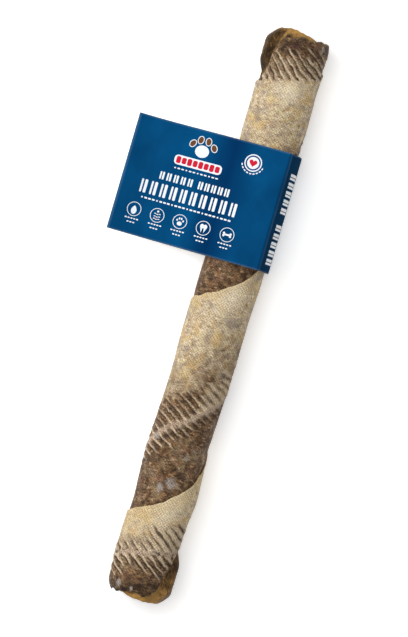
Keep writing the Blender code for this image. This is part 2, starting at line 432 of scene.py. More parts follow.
def bottom_look(arc, height, depth, angle, seed):
    """Pale above and dark at the rim, with a pebbled midline between."""
    midline = -165.5 + 0.20 * np.clip(arc, -30, 30) + 1.4 * noise(arc, 0, 9, seed + 11)
    lift = height - midline
    right_side = ramp(arc, -9, 4) * ramp(lift, -1, 1)
    width = 0.11 + 0.17 * right_side
    crest, shaded_gap, body = fin_marks(arc, height, lift, 38, 4.5, (22, 16), width, seed + 50, 0.30)
    left_above = ramp(lift, 5, 9) * fall(arc, -9, 4)
    crest, shaded_gap = crest * (1 - 0.85 * left_above), shaded_gap * (1 - 0.9 * left_above)
    blotch = 4 * fine_noise(arc, height, 8, seed + 12)
    tone = 0.58 * ramp(-lift + blotch, -19, -3) * (1 - 0.8 * right_side)
    tone += 0.08 * ramp(-lift + blotch, 1, 8)
    tone += 0.72 * ramp(-lift + 0.5 * blotch, 9, 24) + 0.10 * ramp(arc, 12, 20) * ramp(-lift, -20, 5)
    tone += 0.18 * body * (1 - crest) * ramp(-lift, -1, 3) - 0.50 * bright_edge(arc, depth)
    lumps = noise(arc, height, (1.7, 1.4), seed + 13)
    near_midline = bump(lift, 0.8, 3.8)
    band = near_midline * ramp(lumps, -0.40, 0.20)
    # Between the midline's lumps the gaps are sunk and painted dark as painted shade.
    shaded_gap = np.maximum(shaded_gap * (1 - 0.5 * band), 0.8 * near_midline * ramp(-lumps, 0.15, 0.60))
    crest = np.clip(1.3 * crest, 0, 1)
    spot = spots(arc, height, ((-14.2, -190.6, 2.9), (-3.5, -191.6, 1.6)))
    return skin_marks(tone, crest, shaded_gap, band, spot, fall(depth + 2 * blotch, 0, 22))


# ---- skins as sheets

def skin_place(arc, height):
    """Centimetres round and along the roll, which the skins' materials read."""
    return np.stack([arc / 10, height / 10, 0 * arc], -1)


def roll_sheet(name, angle, height, inner, outer, material, values):
    """A sheet between two radii, laid round the stick."""
    front, back = on_stick(angle, height, outer), on_stick(angle, height, inner)
    return make_sheet(name, front, back, [material], values)


def spaced(length, fine, close, wide):
    """Places from 0 to length: close together at both ends and inside the fine stretch."""
    edge, edge_step = 1.6, 0.32
    places = [0.0]
    while places[-1] < length:
        place = places[-1]
        if place < edge or length - place < edge:
            step = edge_step
        elif fine[0] < place < fine[1]:
            step = close
        else:
            step = wide
        places.append(place + step)
    places = np.array(places)
    return places * length / places[-1]


def round_angles():
    """Angles once round a skin and over its own start, closer together on the upper side."""
    degree = math.radians(1) * MEAN_RADIUS
    upper_side = ((-98 - SEAM) * degree, (98 - SEAM) * degree)
    return SEAM + whole_thirds(spaced((360 + FLAP) * degree, upper_side, 0.48, 0.85)) / degree


def make_wrap(name, look, upper_edge, lower_edge, fine, seed, material):
    """A skin rolled once round the stick. An edge of None is one of the stick's rims."""
    angles = round_angles()
    upper = top_rim(angles) if upper_edge is None else edge_height(upper_edge, angles)
    if lower_edge is None:
        lower = bottom_rim(angles)
    else:
        corner = (LAP + 4) * ramp(angles, SEAM + 360 - FLAP_LIFT, SEAM + 358)
        lower = edge_height(lower_edge, angles) - LAP + corner
    longest = float(np.max(upper - lower))
    share = 1 - whole_thirds(spaced(longest, fine, 0.5, 0.9))[::-1] / longest
    angle, along = np.meshgrid(angles, share)
    arc = np.radians(angle) * MEAN_RADIUS
    length = upper - lower
    depth = (1 - along) * length
    from_low = along * length
    from_side = np.minimum(angle - SEAM, SEAM + 360 + FLAP - angle) * math.radians(1) * MEAN_RADIUS
    from_edge = np.minimum(np.minimum(depth, from_low), from_side)
    ragged = 1.1 * fine_noise(arc, 0, 6, seed, 4)
    height = lower + length * along + ragged * fall(depth, 0, 7) - ragged * fall(from_low, 0, 7)
    marks = look(arc, height, depth, angle, seed)
    lift = WRAP_BORE + LAYER * wrap_lift(upper_edge, angle, height)
    curl = 0.35 * (0.5 + 0.5 * noise(arc, 0, 6, seed + 20)) * fall(depth, 0, 4.5)
    rounding = fall(from_edge, 0, 0.9)
    relief = 0.22 * fine_noise(arc, height, (12, 15), seed + 30)
    relief += 0.14 * fine_noise(arc, height, (2.4, 3.2), seed + 40, 3)
    relief += 0.42 * marks["crest"] - 0.34 * marks["shaded_gap"] + 0.40 * marks["band"]
    relief += 0.30 * marks["spot"]
    outer = lift + SKIN + curl + relief * ramp(from_edge, 0, 2) - 0.32 * rounding
    inner = lift + curl + 0.22 * rounding
    values = {**marks, "skin": skin_place(arc, height)}
    return roll_sheet(name, angle, height, inner, outer, material, values)


# ---- liner and core skins

def flare(angle, height, reach, covered_to):
    """Bulge of the liner where the wrap over it is torn away, curling in again at the end.
    reach is the four angles at which it begins, is full, sinks and is gone."""
    width = ramp(angle, reach[0], reach[1]) * fall(angle, reach[2], reach[3])
    rise = ramp(height, covered_to + 1, covered_to + 17)
    curl = ramp(height, STICK_HALF - 12, STICK_HALF + 1)
    return width * (4.6 * rise - 5.0 * curl)


def liner_flare(angle, height):
    """The liner's bulges at its two torn places."""
    near = (angle - 9, angle, angle + 9)
    top_cover = np.max([np.maximum(top_rim(a), edge_height(UPPER_EDGE, a)) for a in near], axis=0)
    bottom_cover = np.max([-bottom_rim(a) for a in near], axis=0)
    bulge = flare(angle, height, (-117, -88, -66, -30), top_cover)
    return bulge + flare(angle, -height, (28, 62, 110, 150), bottom_cover)


def liner_end(angle, seed):
    """Height of the liner's wavy lip, lowest at one side."""
    wave = 0.8 * noise(angle, 0, 25, seed)
    wave += 0.4 * noise(angle, 0, 8, seed + 1)
    return STICK_HALF - 0.9 - 5.5 * ramp(1 - np.cos(np.radians(angle + 28)), -0.3, 1.1) + 0.7 * wave


def make_liner(seed, material):
    """A skin rolled once under the wraps, creased and curled where its ends show."""
    angles = round_angles()
    low, high = -liner_end(-angles, seed), liner_end(angles, seed + 5)
    covered = 46.0    # distance from an end at which wraps hide it everywhere
    length = 2 * STICK_HALF
    ends = spaced(covered * 2, (0, covered * 2), 0.75, 0.75)[:-1]
    ends = ends[ends < covered]
    middle = np.linspace(covered, length - covered, 40)
    share = whole_thirds(np.concatenate([ends, middle, length - ends[::-1]])) / length
    angle, along = np.meshgrid(angles, share)
    height = low + (high - low) * along
    arc = np.radians(angle) * MEAN_RADIUS
    from_end = np.minimum(along, 1 - along) * (high - low)
    rounding = fall(from_end, 0, 0.9)
    shown = fall(from_end, 30, 45)
    relief = 0.24 * fine_noise(arc, height, (5, 11), seed + 10)
    creases = 0.6 * np.abs(noise(arc - 0.45 * height, height, (2.4, 14), seed + 30))
    lip = fall(from_end, 0, 7)
    bore = LINER_BORE + LAYER * (angle - SEAM) / 360 + liner_flare(angle, height)
    outer = bore + LINER_SKIN + (relief - creases) * shown + 0.3 * lip - 0.3 * rounding
    inner = bore - 0.15 * lip + 0.25 * rounding
    torn_edge = np.where(height > 0, height - top_rim(angle), bottom_rim(angle) - height)
    torn = ramp(torn_edge, 2.0, 3.6) * fall(torn_edge, 4.0, 9.0)
    golden_lip = 1.4 * ramp(torn_edge, 0.3, 1.2) * bump(angle, 13, 24)
    golden_left = ramp(height, 176, 190) * ramp(-angle, 30, 45)
    seam_shadow = fall(torn_edge, 0.5, 3.4) * (1 - ramp(angle, -34, -18) * fall(angle, 28, 42))
    # The liner is darker towards the left and right sides of the roll, which is painted shade where
    # it turns away, and lighter from the top towards the right and at the top left.
    tone = 0.54 + 0.9 * fine_noise(arc, height, (6, 9), seed + 20) + 0.40 * ramp(-angle, 38, 70)
    tone += 0.40 * ramp(angle, 52, 78) - 0.34 * ramp(angle, 5, 50) - 0.34 * golden_left
    tone += 0.8 * seam_shadow
    values = {
        "lip": fall(from_end, 0.2, 3.0),
        "torn": np.maximum(torn, golden_lip),
        "tone": tone,
        "skin": skin_place(arc, height),
    }
    return roll_sheet("liner_skin_rolled", angle, height, inner, outer, material, values)


def make_core(number, bore, turns, start, half_length, seed, material):
    """A skin rolled lengthwise in a spiral, with ragged ends."""
    turned = whole_thirds(np.linspace(0, turns, int(60 + turns * (bore + 2) * 5.5)))
    ragged = 1.3 * noise(turned * 9, 0, 1, seed)
    ragged += 0.6 * noise(turned * 30, 0, 1, seed + 1)
    reach = half_length - 1.0 + ragged
    # Rows of the mesh, as distances from an end
    inward = np.array([0, 0.3, 0.7, 1.2, 2, 3, 4.5, 7, 11, 18, 40, 90])
    share = whole_thirds(np.concatenate([inward, 2 * half_length - inward[::-1]])) / (2 * half_length)
    turned_grid, along = np.meshgrid(turned, share)
    height = (2 * along - 1) * reach
    angle = start + 360 * turned_grid
    from_end = np.minimum(along, 1 - along) * 2 * half_length
    from_side = np.minimum(turned_grid, turns - turned_grid) * 2 * math.pi * bore
    rounding = fall(np.minimum(from_end, from_side), 0, 0.7)
    wave = 0.16 * noise(turned_grid * 12, height, (1, 30), seed + 2)
    radius = bore + CORE_PITCH * turned_grid + wave
    inner = radius + CORE_FACES[0] + 0.28 * rounding
    outer = radius + CORE_FACES[1] - 0.28 * rounding
    arc = np.radians(angle) * bore
    values = {
        "lip": fall(from_end, 0.2, 2.0),
        "torn": 0 * arc,
        "tone": 0.5 + 0.4 * fine_noise(arc, height, (5, 9), seed + 3),
        "skin": skin_place(arc, height),
    }
    return roll_sheet(f"core_skin_rolled_{number}", angle, height, inner, outer, material, values)


# ---- label

LABEL_HEIGHT = LABEL_HIGH.y - LABEL_LOW.y
LABEL_CENTRE = (LABEL_HIGH.y + LABEL_LOW.y) / 2
FLOOR = CARD - AXIS_Z                # inner face of the back panel, from the stick's axis
UPPER_FOLD = Vector((15.3, 31.5))    # the folds' places are across and up from the axis
LOWER_FOLD = Vector((SPINE_REACH, FLOOR))
SHOULDER = Vector((-25.0, 11.4))     # where the front panel comes down beside the stick
SPINE_BOW = 2.6
GLUED_WIDTH = 8.5
STRIP_ROOM = STRIP_HIGH.z - STRIP_LOW.z + 0.3
FOLD_RADIUS = 0.9
SHARP_FOLD = math.radians(25)
LABEL_TURN = math.radians(0.5)
FACES_UP = 0.3                       # least upward share of the front panel's normal
INK_DEPTH = 0.05                     # how far a mark reaches into the card


def turned_label(x, y, z):
    """The place of a point of the label, which sits turned a little on the stick."""
    across, along = x - AXIS_X, y - LABEL_CENTRE
    turned_x = AXIS_X + across * math.cos(LABEL_TURN) - along * math.sin(LABEL_TURN)
    turned_y = LABEL_CENTRE + across * math.sin(LABEL_TURN) + along * math.cos(LABEL_TURN)
    return turned_x, turned_y, z


def falling(degrees):
    """Unit vector towards the flag, falling at a slope."""
    return Vector((-math.cos(math.radians(degrees)), -math.sin(math.radians(degrees))))


def label_path():
    """Inner face of the card across the stick, from the back panel's free edge round the
    spine to the front panel's free edge."""
    glued = Vector((GLUED_WIDTH - FLAG_REACH, FLOOR + STRIP_ROOM))
    back = [Vector((-FLAG_REACH, FLOOR)).lerp(LOWER_FOLD, share) for share in np.linspace(0, 1, 40)]
    up_spine = (UPPER_FOLD - LOWER_FOLD).normalized()
    outward = Vector((up_spine.y, -up_spine.x))
    spine = []
    for share in np.linspace(0, 1, 30)[1:]:
        bow = SPINE_BOW * 4 * share * (1 - share)
        spine.append(LOWER_FOLD.lerp(UPPER_FOLD, share) + outward * bow)
    over_stick = (UPPER_FOLD, UPPER_FOLD + 14 * falling(17), SHOULDER - 14 * falling(35), SHOULDER)
    over_flag = (SHOULDER, SHOULDER + 24 * falling(35), glued + Vector((18, 0)), glued)
    front = []
    for knots in (over_stick, over_flag):
        front.extend(point.to_2d() for point in interpolate_bezier(*knots, 33)[1:])
    free_edge = Vector((-FLAG_REACH, glued.y))
    front.extend(glued.lerp(free_edge, share) for share in (0.25, 0.5, 0.75, 1.0))
    path = np.array([point[:] for point in round_folds(back + spine + front)])
    while len(path) % BACK_STEP != 1:
        path = np.insert(path, 2, (path[1] + path[2]) / 2, axis=0)
    return path


def round_folds(path):
    """The same path with its two sharp folds rounded."""
    rounded = [path[0]]
    for before, point, after in zip(path, path[1:], path[2:]):
        if (point - before).angle(after - point) > SHARP_FOLD:
            start = point + (before - point).normalized() * FOLD_RADIUS
            end = point + (after - point).normalized() * FOLD_RADIUS
            for share in np.linspace(0, 1, 9):
                rounded.append(start.lerp(point, share).lerp(point.lerp(end, share), share))
        else:
            rounded.append(point)
    return rounded + [path[-1]]


def outward_normals(path):
    """Unit normals of a path of points, on its right-hand side."""
    along = np.gradient(path, axis=0)
    along /= np.linalg.norm(along, axis=1)[:, None]
    return np.stack([along[:, 1], -along[:, 0]], -1)


def run_along(path):
    """Distance of each point from the path's start."""
    return np.concatenate([[0], np.cumsum(np.linalg.norm(np.diff(path, axis=0), axis=1))])


def make_label(path, normals, printed, paper):
    """The folded card: its outer face printed, its inner face and its cut edges white."""
    up = np.linspace(0, 1, 64)
    edge = np.minimum(up, 1 - up) * LABEL_HEIGHT
    thin = fall(edge, 0, 0.25)[:, None] * 0.12
    shape = (len(up), len(path))
    along = np.broadcast_to((LABEL_CENTRE + (up - 0.5) * LABEL_HEIGHT)[:, None], shape)
    run = run_along(path)

    def face(out):
        """One face of the card, at a distance out from its inner face."""
        across, height = (path[:, side] + normals[:, side] * out for side in (0, 1))
        return np.stack(turned_label(AXIS_X + across, along, AXIS_Z + height), -1)

    across = np.broadcast_to(path[:, 0], shape)
    values = {
        "skin": np.stack([across / 10, along / 10, np.broadcast_to(run / 10, shape)], -1),
        "worn": fall(np.minimum(edge[:, None], np.minimum(run, run[-1] - run)), 0, 0.6),
        "front": np.broadcast_to(normals[:, 1] > FACES_UP, shape) * 1.0,
    }
    item = make_sheet("label_card_printed", face(CARD - thin), face(thin), [printed, paper], values,
                      sides=(0, 1, 1))
    settle(item, "label", "printed_card", "label_card")


class Ink:
    """Marks of one colour printed on the card's outer face, gathered flat and then laid on."""

    def __init__(self, name, bright, dull, proud):
        self.name = f"label_ink_{name}"
        self.material = ink_material(f"ink_{name}", bright, dull)
        self.proud = proud
        self.mesh = bmesh.new()

    def corners(self, points):
        return [self.mesh.verts.new((x, y, 0)) for x, y in points]

    def area(self, points):
        self.mesh.faces.new(self.corners(points))

    def block(self, x, y, width, height, corner=0.5):
        """A block with rounded corners; x and y are its centre."""
        corner = min(corner, width / 2 - 0.01, height / 2 - 0.01)
        points = []
        for quarter, (side_x, side_y) in enumerate(((1, 1), (-1, 1), (-1, -1), (1, -1))):
            centre = (x + side_x * (width / 2 - corner), y + side_y * (height / 2 - corner))
            turns = [90 * quarter + 30 * step for step in range(4)]
            points += round_points(*centre, corner, corner, turns)
        self.area(points)

    def row(self, x, y, count, pitch, width, height, corner):
        """A row of blocks; x and y are the first one's centre."""
        for number in range(count):
            self.block(x + pitch * number, y, width, height, corner)

    def oval(self, x, y, width, height, turn=0.0, count=20):
        turns = [360 * step / count for step in range(count)]
        self.area(round_points(x, y, width / 2, height / 2, turns, turn))

    def ring(self, x, y, radius, width, start=0.0, end=360.0, count=40):
        turns = [start + (end - start) * step / count for step in range(count + 1)]
        inner, outer = (self.corners(round_points(x, y, reach, reach, turns))
                        for reach in (radius - width / 2, radius + width / 2))
        for step in range(count):
            self.mesh.faces.new((inner[step], outer[step], outer[step + 1], inner[step + 1]))

    def lay(self, columns, place):
        """Cuts the marks at the columns, thickens them and maps them onto the card."""
        bmesh.ops.remove_doubles(self.mesh, verts=self.mesh.verts, dist=0.001)
        places = [vertex.co.x for vertex in self.mesh.verts]
        for column in columns[(columns > min(places)) & (columns < max(places))]:
            parts = self.mesh.verts[:] + self.mesh.edges[:] + self.mesh.faces[:]
            bmesh.ops.bisect_plane(self.mesh, geom=parts, dist=0.001, plane_co=(column, 0, 0),
                                   plane_no=(1, 0, 0))
        raised = bmesh.ops.extrude_face_region(self.mesh, geom=self.mesh.faces[:], use_keep_orig=True)
        for vertex in self.mesh.verts:
            vertex.co.z = -INK_DEPTH
        for part in raised["geom"]:
            if isinstance(part, bmesh.types.BMVert):
                part.co.z = self.proud
        skin = np.array([vertex.co / 10 for vertex in self.mesh.verts])
        for vertex in self.mesh.verts:
            vertex.co = Vector(place(*vertex.co)) * MM
        bmesh.ops.recalc_face_normals(self.mesh, faces=self.mesh.faces)
        mesh = bpy.data.meshes.new(self.name)
        self.mesh.to_mesh(mesh)
        self.mesh.free()
        keep_values(mesh, "skin", skin)
        mesh.materials.append(self.material)
        item = bpy.data.objects.new(self.name, mesh)
        bpy.context.scene.collection.objects.link(item)
        settle(item, "label", "printed_card")


def round_points(x, y, half_width, half_height, turns, lean=0.0):
    """Points of an oval round x and y, at turns in degrees; lean is in radians."""
    points = []
    for turn in turns:
        across = half_width * math.cos(math.radians(turn))
        down = half_height * math.sin(math.radians(turn))
        points.append((x + across * math.cos(lean) - down * math.sin(lean),
                       y + across * math.sin(lean) + down * math.cos(lean)))
    return points


def print_front(path, normals):
    """Marks on the front panel. x runs from its free edge and y down from its top edge."""
    first = np.argmax(normals[:, 1] > FACES_UP)
    panel, outward = path[first:][::-1], normals[first:][::-1]

    def place(x, y, lift):
        across = x - FLAG_REACH
        up, lean, rise = (np.interp(across, panel[:, 0], column)
                          for column in (panel[:, 1], outward[:, 0], outward[:, 1]))
        up += (CARD + lift) / max(rise, FACES_UP)
        return turned_label(AXIS_X + across + lean * lift, LABEL_HIGH.y - y, AXIS_Z + up)

    white = Ink("white", (0.80, 0.83, 0.86, 1), (0.68, 0.73, 0.78, 1), 0.035)
    red = Ink("red", (0.62, 0.02, 0.04, 1), (0.46, 0.01, 0.03, 1), 0.06)
    brown = Ink("brown", (0.16, 0.07, 0.03, 1), (0.10, 0.04, 0.02, 1), 0.06)
    blue = Ink("blue", (0.01, 0.05, 0.20, 1), (0.01, 0.04, 0.15, 1), 0.06)
    print_paw(white, brown)
    print_name_bar(white, red)
    print_titles(white)
    print_round_marks(white)
    print_seal(white, red, blue)
    for ink in (white, red, brown, blue):
        ink.lay(panel[:, 0] + FLAG_REACH, place)


def print_paw(white, brown):
    """A plain paw print: a white pad under four brown toes that are edged in white."""
    white.oval(48.0, 14.6, 9.6, 8.4)
    for x, y, turn in ((40.6, 10.6, 0.5), (45.3, 7.2, 0.15), (50.7, 7.2, -0.15), (55.4, 10.6, -0.5)):
        white.oval(x, y, 4.4, 5.8, turn)
        brown.oval(x, y, 3.4, 4.8, turn)


def print_name_bar(white, red):
    """A row of red blocks on a white bar."""
    white.block(47.8, 23.8, 33.0, 6.6, 2.4)
    red.row(34.3, 23.8, 4, 7.72, 3.1, 4.8, 1.0)
    red.row(38.16, 23.8, 4, 7.72, 3.1, 4.3, 1.0)


def print_titles(white):
    """Lines of plain blocks where the card has its wording."""
    for x, pitch in ((26.4, 4.95), (53.4, 4.6)):
        white.row(x - 0.95, 37.0, 5, pitch, 1.1, 5.4, 0.5)
        white.row(x + 0.95, 37.0, 5, pitch, 1.3, 5.4, 0.5)
    white.row(14.85, 47.0, 10, 6.95, 1.3, 9.2, 0.6)
    white.row(17.55, 47.0, 10, 6.95, 1.9, 9.2, 0.6)
    for x, y, count, pitch, every, width, short, height in (
            (33.4, 29.6, 12, 2.65, 3, 1.9, 1.2, 0.9), (17.3, 54.6, 24, 2.66, 4, 2.0, 1.1, 1.1)):
        for number in range(count):
            white.block(x + pitch * number, y, width if number % every else short, height, 0.4)


def print_round_marks(white):
    """Five ringed signs (drop, waves, paw, tooth and bone) over two short rows of blocks."""
    centres = (14.5, 30.8, 46.8, 63.2, 79.8)
    for x in centres:
        white.ring(x, 64.0, 4.7, 0.42)
        white.row(x - 4.0, 70.5, 5, 2.0, 1.45, 0.85, 0.35)
        white.row(x - 2.0, 73.1, 3, 2.0, 1.45, 0.85, 0.35)
    drop, wave, paw, tooth, bone = centres
    turns = [math.tau * step / 24 for step in range(24)]
    white.area([(drop + 1.9 * math.cos(turn) * (1 - 0.45 * max(0, -math.sin(turn))),
                 64.6 + 2.9 * math.sin(turn)) for turn in turns])
    for row in (63.0, 64.8, 66.4):
        white.row(wave - 1.6, row, 2, 3.2, 1.4, 0.55, 0.25)
        white.block(wave, row + 0.35, 1.4, 0.55, 0.25)
    white.area([(wave, 60.4), (wave + 0.9, 61.3), (wave, 62.2), (wave - 0.9, 61.3)])
    for x, y, width, height in (
            (paw, 65.3, 3.4, 2.8), (paw - 2.1, 63.2, 1.1, 1.5), (paw - 0.75, 61.9, 1.1, 1.5),
            (paw + 0.75, 61.9, 1.1, 1.5), (paw + 2.1, 63.2, 1.1, 1.5),
            (tooth - 1.1, 62.9, 2.6, 3.2), (tooth + 1.15, 62.9, 2.6, 3.2),
            (bone - 2.3, 63.2, 1.6, 1.6), (bone - 2.3, 64.8, 1.6, 1.6),
            (bone + 2.3, 63.2, 1.6, 1.6), (bone + 2.3, 64.8, 1.6, 1.6)):
        white.oval(x, y, width, height)
    white.area([(tooth - 2.0, 64.2), (tooth - 0.5, 64.4), (tooth - 0.9, 67.2)])
    white.area([(tooth + 0.5, 64.4), (tooth + 2.0, 64.2), (tooth + 0.9, 67.2)])
    white.block(bone, 64.0, 4.6, 1.2, 0.4)


def print_seal(white, red, blue):
    """A plain round seal: a white disc with a red heart in a blue ring, and dashes below."""
    x, y = 83.2, 13.0
    white.oval(x, y, 11.8, 11.8, count=40)
    blue.ring(x, y, 4.6, 1.0)
    heart = []
    for step in range(32):
        turn = math.tau * step / 32
        rise = 13 * math.cos(turn) - 5 * math.cos(2 * turn)
        rise -= 2 * math.cos(3 * turn) + math.cos(4 * turn)
        heart.append((x + 2.7 * math.sin(turn) ** 3, y - 0.17 * rise))
    red.area(heart)
    for number in range(9):
        middle = 20 + 17.5 * number
        white.ring(x, y, 7.4, 0.8, middle - 5.5, middle + 5.5, 4)


def print_spine(path, normals):
    """Two groups of paired blocks along the spine, each block lying across it."""
    run = run_along(path)
    spine = run[normals[:, 0] > 0.6]
    start, width = spine[0], spine[-1] - spine[0]

    def place(x, y, lift):
        surface = path + normals * (CARD + lift)
        across, up = (np.interp(start + x, run, surface[:, side]) for side in (0, 1))
        return turned_label(AXIS_X + across, LABEL_CENTRE + y, AXIS_Z + up)

    # The spine's white ink is lighter than the front's white ink: painted light on the shaded spine.
    ink = Ink("spine", (0.92, 0.94, 0.96, 1), (0.84, 0.87, 0.90, 1), 0.035)
    for number in (0, 1, 2, 3, 4, 6, 7, 8, 9, 10):
        y = 7.5 + 5.9 * number - LABEL_HEIGHT / 2
        ink.block(width / 2 + 1.5, y - 1.2, 25.0, 1.5)
        ink.block(width / 2 + 1.5, y + 1.1, 25.0, 2.0)
    ink.lay(run - start, place)


# ---- materials

class Nodes:
    """The node tree of a material or a world, built up one node at a time."""

    def __init__(self, owner):
        owner.use_nodes = True
        self.owner = owner
        self.tree = owner.node_tree

    def put(self, socket, value):
        if isinstance(value, bpy.types.NodeSocket):
            self.tree.links.new(value, socket)
        else:
            socket.default_value = value

    def fill(self, node, inputs):
        """Gives a node's inputs their values by name."""
        for key, value in inputs.items():
            self.put(node.inputs[key.replace("_", " ")], value)
        return node

    def add(self, kind, *values, settings=None, **inputs):
        """A new node. The values go to its first inputs, in order."""
        node = self.tree.nodes.new(kind)
        for key, value in (settings or {}).items():
            setattr(node, key, value)
        for socket, value in zip(node.inputs, values):
            self.put(socket, value)
        return self.fill(node, inputs)

    def finish(self, **inputs):
        """Fills the shader's inputs and returns the material."""
        self.fill(self.tree.nodes["Principled BSDF"], inputs)
        return self.owner

    def kept(self, key, output="Fac"):
        """A value that the mesh keeps."""
        return self.add("ShaderNodeAttribute", settings={"attribute_name": key}).outputs[output]

    def maths(self, operation, *values, clamp=False):
        settings = {"operation": operation, "use_clamp": clamp}
        return self.add("ShaderNodeMath", *values, settings=settings).outputs[0]

    def times(self, first, second, clamp=False):
        return self.maths("MULTIPLY", first, second, clamp=clamp)

    def plus(self, first, second, clamp=False):
        return self.maths("ADD", first, second, clamp=clamp)

    def turned(self, vector, degrees=0, stretch=(1, 1, 1), shift=0.0):
        return self.add("ShaderNodeMapping", Vector=vector, Scale=stretch,
                        Rotation=(0, 0, math.radians(degrees)),
                        Location=(shift, shift * 0.7, 0)).outputs[0]

    def noise(self, vector, scale, detail=4.0, roughness=0.55, distortion=0.0, **place):
        """Noise. The place says how its vector is turned, stretched and shifted."""
        if place:
            vector = self.turned(vector, **place)
        return self.add("ShaderNodeTexNoise", Vector=vector, Scale=scale, Detail=detail,
                        Roughness=roughness, Distortion=distortion).outputs["Fac"]

    def rescale(self, value, low, high, new_low=0.0, new_high=1.0):
        return self.add("ShaderNodeMapRange", value, low, high, new_low, new_high,
                        settings={"clamp": True}).outputs[0]

    def mix(self, share, first, second, blend="MIX"):
        node = self.add("ShaderNodeMix", share, settings={"data_type": "RGBA", "blend_type": blend})
        self.put(node.inputs[6], first)
        self.put(node.inputs[7], second)
        return node.outputs[2]

    def shade(self, colour, value):
        """The colour made darker or lighter by a number."""
        grey = self.add("ShaderNodeCombineColor", value, value, value).outputs[0]
        return self.mix(1.0, colour, grey, "MULTIPLY")

    def coats(self, colour, *coats):
        """The colour under others, each as thick as its value is far along a range."""
        for value, low, high, most, coat in coats:
            colour = self.mix(self.rescale(value, low, high, 0.0, most), colour, srgb(*coat))
        return colour

    def colours(self, value, *stops):
        node = self.add("ShaderNodeValToRGB", value)
        ends = node.color_ramp.elements
        while len(ends) < len(stops):
            ends.new(0.5)
        for end, (position, *colour) in zip(ends, stops):
            end.position = position
            end.color = srgb(*colour)
        return node.outputs[0]

    def bump(self, height, distance, strength):
        return self.add("ShaderNodeBump", Height=height, Distance=distance,
                        Strength=strength).outputs[0]


def new_material(name):
    return Nodes(bpy.data.materials.new(name))


def srgb(red, green, blue):
    """A colour as a screen shows it, from 0 to 255, made linear."""
    linear = []
    for value in (red / 255, green / 255, blue / 255):
        linear.append(value / 12.92 if value <= 0.04045 else ((value + 0.055) / 1.055) ** 2.4)
    return (*linear, 1.0)


